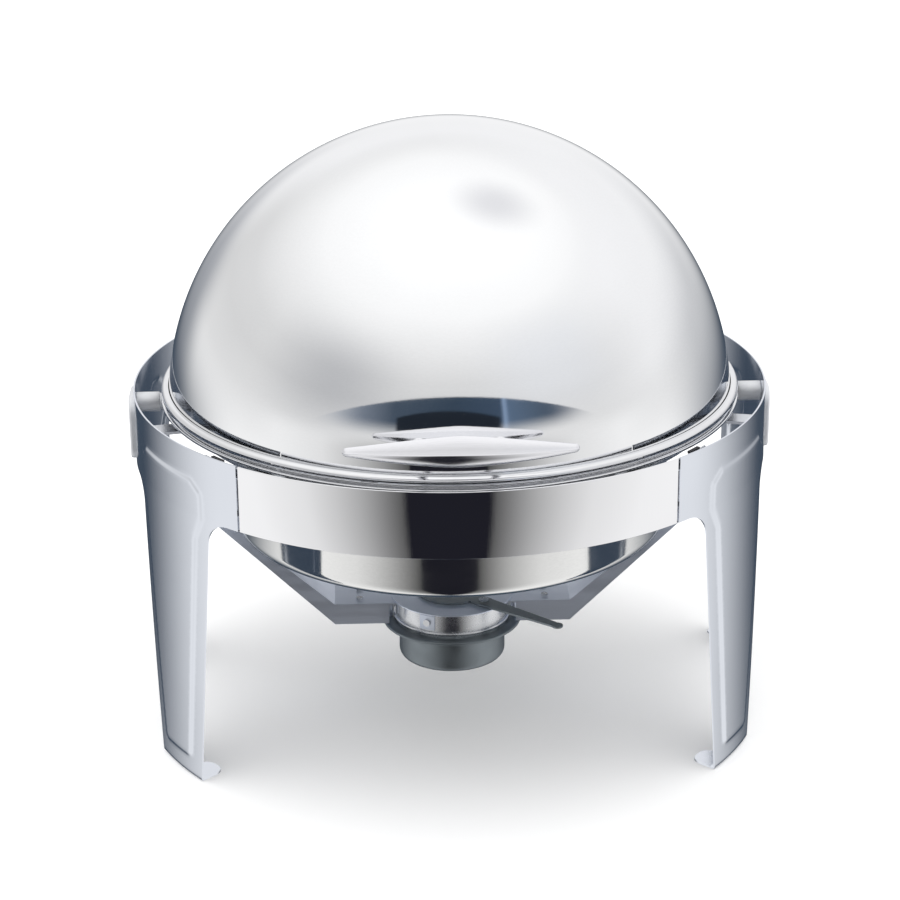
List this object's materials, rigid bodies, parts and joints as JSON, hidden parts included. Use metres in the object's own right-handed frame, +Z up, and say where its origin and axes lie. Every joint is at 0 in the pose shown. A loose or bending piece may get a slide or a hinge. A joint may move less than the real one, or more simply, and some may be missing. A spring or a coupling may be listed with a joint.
{
  "type": "roll top chafer",
  "caption": "Round buffet chafer: a domed lid rolls back on side pivots over a food pan and water pan, on a legged ring frame with a fuel burner below.",
  "frame": {"origin": "on the table, under the centre of the domed lid", "axes": "+Z up; -Y towards the guest, the side with the lid's handle; +X to the guest's right"},
  "size_m": [0.4564, 0.4545, 0.43],
  "materials": {
    "lid_steel": "satin polish",
    "rim_steel": "mirror polish",
    "band_steel": "mirror polish with a fine upright grain",
    "leg_steel": "satin",
    "rest_steel": "satin",
    "pivot_steel": "satin",
    "fastener_steel": "satin",
    "pan_steel": "polished",
    "bracket_steel": "brushed along its length",
    "burner_steel": "turned and polished",
    "dark_steel": "dark oiled steel",
    "handle_steel": "polished",
    "bumper_rubber": "matt"
  },
  "bodies": {
    "frame": {"front_band": "band_steel", "rear_band": "band_steel", "side_frame_left": "leg_steel", "side_frame_right": "leg_steel", "front_rest": "rest_steel", "splice_plates": "rest_steel", "pan_carrier": "rest_steel", "pivot_spacer_left": "pivot_steel", "pivot_spacer_right": "pivot_steel", "pivot_cover_left": "pivot_steel", "pivot_cover_right": "pivot_steel", "splice_rivets": "fastener_steel", "pivot_bolt_left": "fastener_steel", "pivot_bolt_right": "fastener_steel", "pivot_nut_left": "fastener_steel", "pivot_nut_right": "fastener_steel", "carrier_rivets": "fastener_steel", "bracket_rivets": "fastener_steel", "burner_clip_rivet": "fastener_steel", "damper_rivet": "fastener_steel", "water_pan": "pan_steel", "food_pan": "pan_steel", "burner_bracket": "bracket_steel", "burner_cover": "bracket_steel", "burner_clip": "bracket_steel", "burner_studs": "bracket_steel", "burner_ring": "burner_steel", "burner_collar": "dark_steel", "fuel_cup": "dark_steel", "rest_bumpers": "bumper_rubber"},
    "lid": {"lid_dome": "lid_steel", "lid_rim": "rim_steel", "lid_ear_left": "rim_steel", "lid_ear_right": "rim_steel", "handle_posts": "handle_steel", "handle_screws": "fastener_steel", "lid_handle": "handle_steel"},
    "damper": {"damper_plate": "dark_steel"}
  },
  "joints": [
    {"name": "lid_hinge", "type": "hinge", "parent": "frame", "child": "lid", "pos_m": [0, 0, 0.23], "axis": [-1, 0, 0], "range_deg": [0, 90]},
    {"name": "damper_hinge", "type": "hinge", "parent": "frame", "child": "damper", "pos_m": [0.0226, -0.0346, 0.0832], "axis": [0, 0, 1], "range_deg": [-60, 0]}
  ]
}
